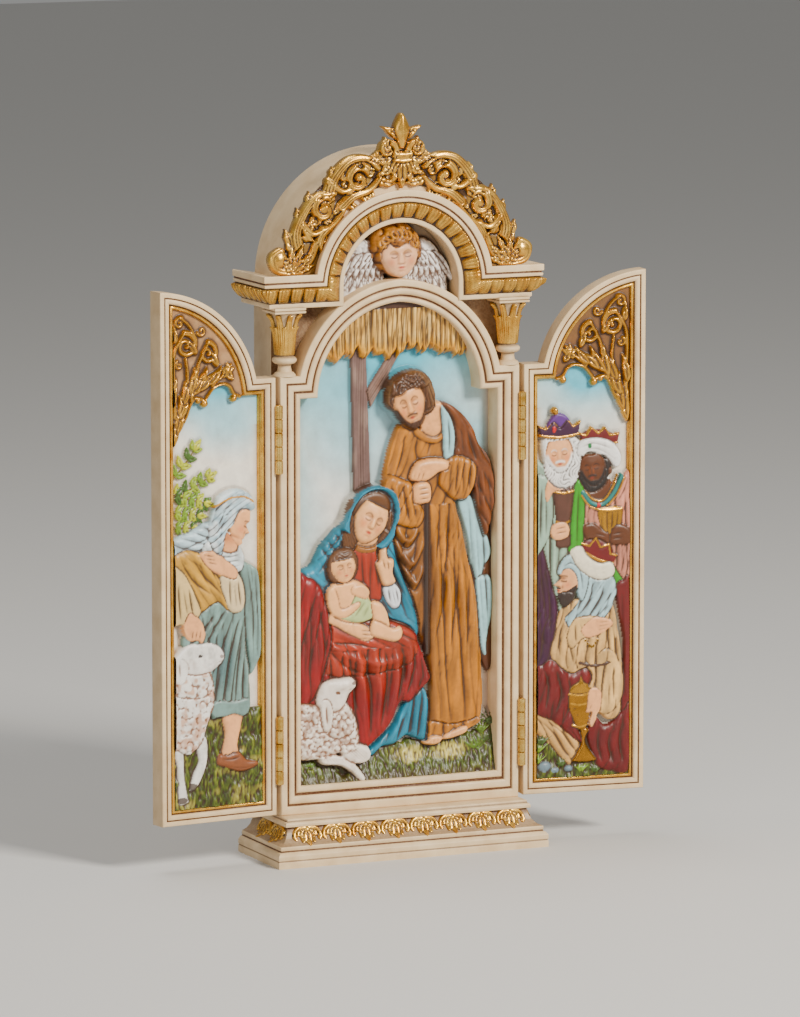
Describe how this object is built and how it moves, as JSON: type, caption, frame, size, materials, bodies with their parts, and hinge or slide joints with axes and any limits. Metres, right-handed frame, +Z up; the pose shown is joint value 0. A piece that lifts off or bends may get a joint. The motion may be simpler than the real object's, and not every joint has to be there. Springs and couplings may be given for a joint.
{
  "type": "triptych altarpiece",
  "caption": "Painted resin triptych altarpiece with a carved nativity niche, hinged relief doors, gilded scrolled pediment and moulded plinth.",
  "frame": {"origin": "middle of the plinth's flat underside", "axes": "+Z up from the underside to the finial, -Y out of the front, +X to the viewer's right"},
  "size_m": [0.2715, 0.054, 0.38],
  "materials": {
    "ivory_resin": "satin ivory paint with a brown wash in the hollows",
    "painted_relief": "hand-painted colours with a brown wash and a satin coat",
    "gold_paint": "antiqued gold paint, satin",
    "brass": "bright worn brass"
  },
  "bodies": {
    "shrine": {"shrine": "ivory_resin", "left_lower_frame_leaf": "brass", "left_lower_pin": "brass", "left_upper_frame_leaf": "brass", "left_upper_pin": "brass", "right_lower_frame_leaf": "brass", "right_lower_pin": "brass", "right_upper_frame_leaf": "brass", "right_upper_pin": "brass"},
    "left_door": {"left_door": "ivory_resin", "left_lower_door_leaf": "brass", "left_upper_door_leaf": "brass"},
    "right_door": {"right_door": "ivory_resin", "right_lower_door_leaf": "brass", "right_upper_door_leaf": "brass"}
  },
  "joints": [
    {"name": "left_door_hinge", "type": "hinge", "parent": "shrine", "child": "left_door", "pos_m": [-0.0676, -0.0102, 0.13], "axis": [0, 0, 1], "range_deg": [-6.8, 173.2]},
    {"name": "right_door_hinge", "type": "hinge", "parent": "shrine", "child": "right_door", "pos_m": [0.0676, -0.0102, 0.13], "axis": [0, 0, -1], "range_deg": [-5.8, 174.2]}
  ]
}
